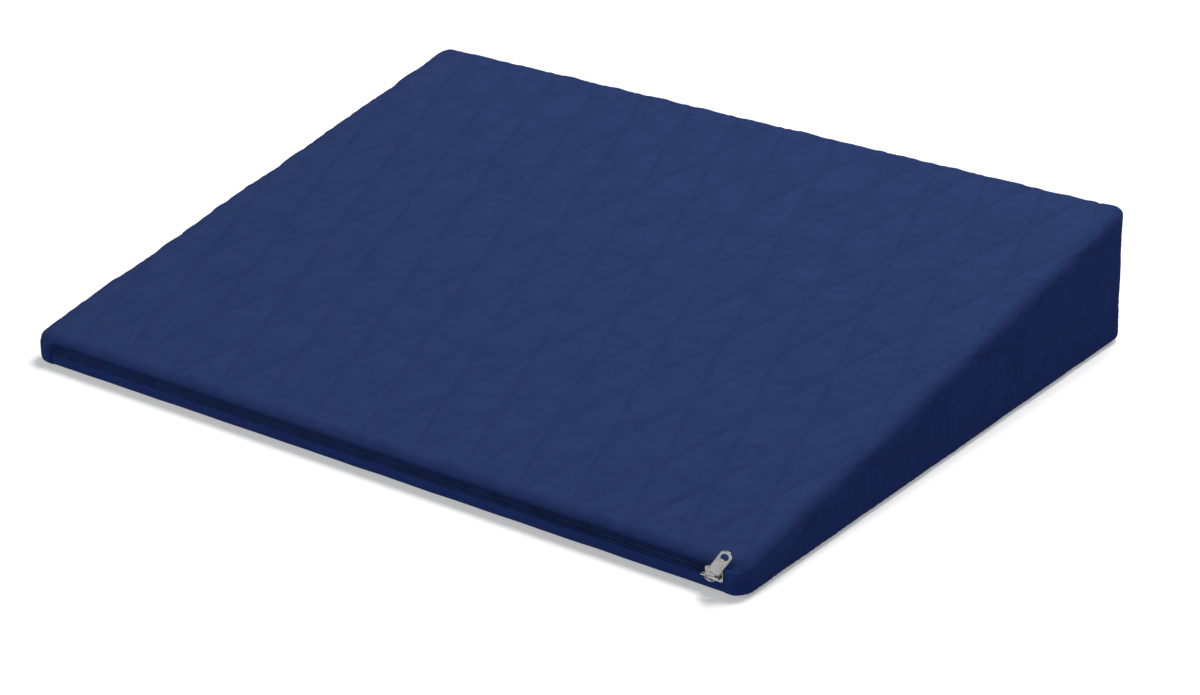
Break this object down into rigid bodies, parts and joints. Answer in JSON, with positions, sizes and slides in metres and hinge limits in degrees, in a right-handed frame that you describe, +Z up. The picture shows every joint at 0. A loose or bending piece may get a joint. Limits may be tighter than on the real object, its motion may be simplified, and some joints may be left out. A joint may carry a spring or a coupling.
{
  "type": "foam wedge cushion",
  "caption": "Low foam wedge cushion in a quilted zip-off fabric cover, with wavy stitched rows on the sloping top and a zip along the low front edge.",
  "frame": {"origin": "centre of the flat base, on the surface that the wedge lies on, without the zip slider", "axes": "+X to the right along the width, seen from the low front edge; +Y towards the high back; +Z up"},
  "size_m": [0.6, 0.4581, 0.0967],
  "materials": {
    "foam": "open-cell polyurethane foam, matt",
    "cover_fabric": "navy brushed microfibre, soft and matt with a faint sheen",
    "wadding": "white polyester wadding",
    "backing_fabric": "thin white non-woven backing",
    "base_fabric": "navy plain-woven fabric, matt",
    "thread": "navy polyester thread",
    "zip_tape": "navy woven zip tape",
    "zip_coil": "navy nylon coil, satin",
    "zip_metal": "satin nickel-plated zinc casting"
  },
  "bodies": {
    "cover": {"foam_core": "foam", "top_and_sides_face_fabric": "cover_fabric", "top_and_sides_wadding": "wadding", "top_and_sides_backing": "backing_fabric", "back_face_fabric": "cover_fabric", "front_strip": "cover_fabric", "back_wadding": "wadding", "back_backing": "backing_fabric", "base_panel": "base_fabric", "top_seam_thread": "thread", "base_seam_thread": "thread", "corner_seam_thread": "thread", "zip_tape_stitching": "thread", "top_quilting_thread": "thread", "zip_lower_tape": "zip_tape", "zip_upper_tape": "zip_tape", "zip_lower_coil": "zip_coil", "zip_upper_coil": "zip_coil", "zip_top_stops": "zip_metal", "zip_bottom_stop": "zip_metal"},
    "slider": {"zip_slider": "zip_metal"},
    "pull_tab": {"zip_pull_tab": "zip_metal"}
  },
  "joints": [
    {"name": "zip_slide", "type": "slide", "parent": "cover", "child": "slider", "axis": [-1, 0, 0], "range_m": [0, 0.555]},
    {"name": "pull_tab_hinge", "type": "hinge", "parent": "slider", "child": "pull_tab", "pos_m": [0.279, -0.2312, 0.0134], "axis": [1, 0, 0], "range_deg": [0, 140]}
  ]
}
